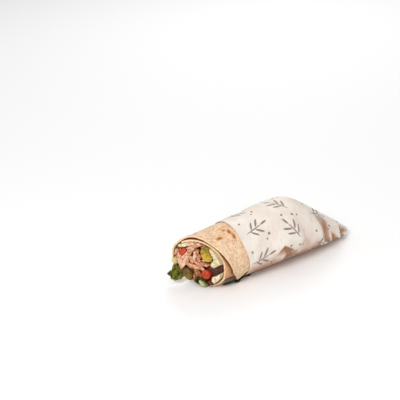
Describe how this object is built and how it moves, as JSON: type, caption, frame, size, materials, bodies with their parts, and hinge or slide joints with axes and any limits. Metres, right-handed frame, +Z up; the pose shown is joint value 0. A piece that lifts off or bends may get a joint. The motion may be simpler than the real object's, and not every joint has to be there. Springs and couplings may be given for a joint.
{
  "type": "tuna wrap",
  "caption": "Half of a tuna wrap, cut on the slant, with tuna, gherkin, tomato, egg, olive and lettuce in a rolled tortilla and a greaseproof paper sleeve.",
  "frame": {"origin": "centre of the bounding box on the surface that the wrap lies on", "axes": "+X along the roll from the cut mouth to the paper's tail, +Y to the far side, +Z up; the outer end of the tortilla lies as a flap on the -Y side"},
  "size_m": [0.1748, 0.0548, 0.0516],
  "materials": {
    "tortilla": "matt soft wheat dough with toasted spots",
    "paper": "greaseproof paper with a faint sheen and grey print",
    "tuna": "moist fibrous flakes",
    "gherkin": "wet and translucent",
    "tomato": "wet flesh",
    "egg": "smooth satin",
    "olive": "oily",
    "rib": "crisp wet rib",
    "lettuce": "fresh leaf with veins"
  },
  "bodies": {
    "root": {"tortilla": "tortilla", "paper_sleeve": "paper", "tuna": "tuna", "gherkin_upper": "gherkin", "gherkin_lower": "gherkin", "tomato_upper": "tomato", "tomato_lower": "tomato", "tomato_bottom": "tomato", "egg_right": "egg", "egg_lower": "egg", "egg_upper": "egg", "olive": "olive", "rib_bottom": "rib", "lettuce_left": "lettuce", "lettuce_arch": "lettuce", "lettuce_under_flap": "lettuce"}
  },
  "joints": []
}
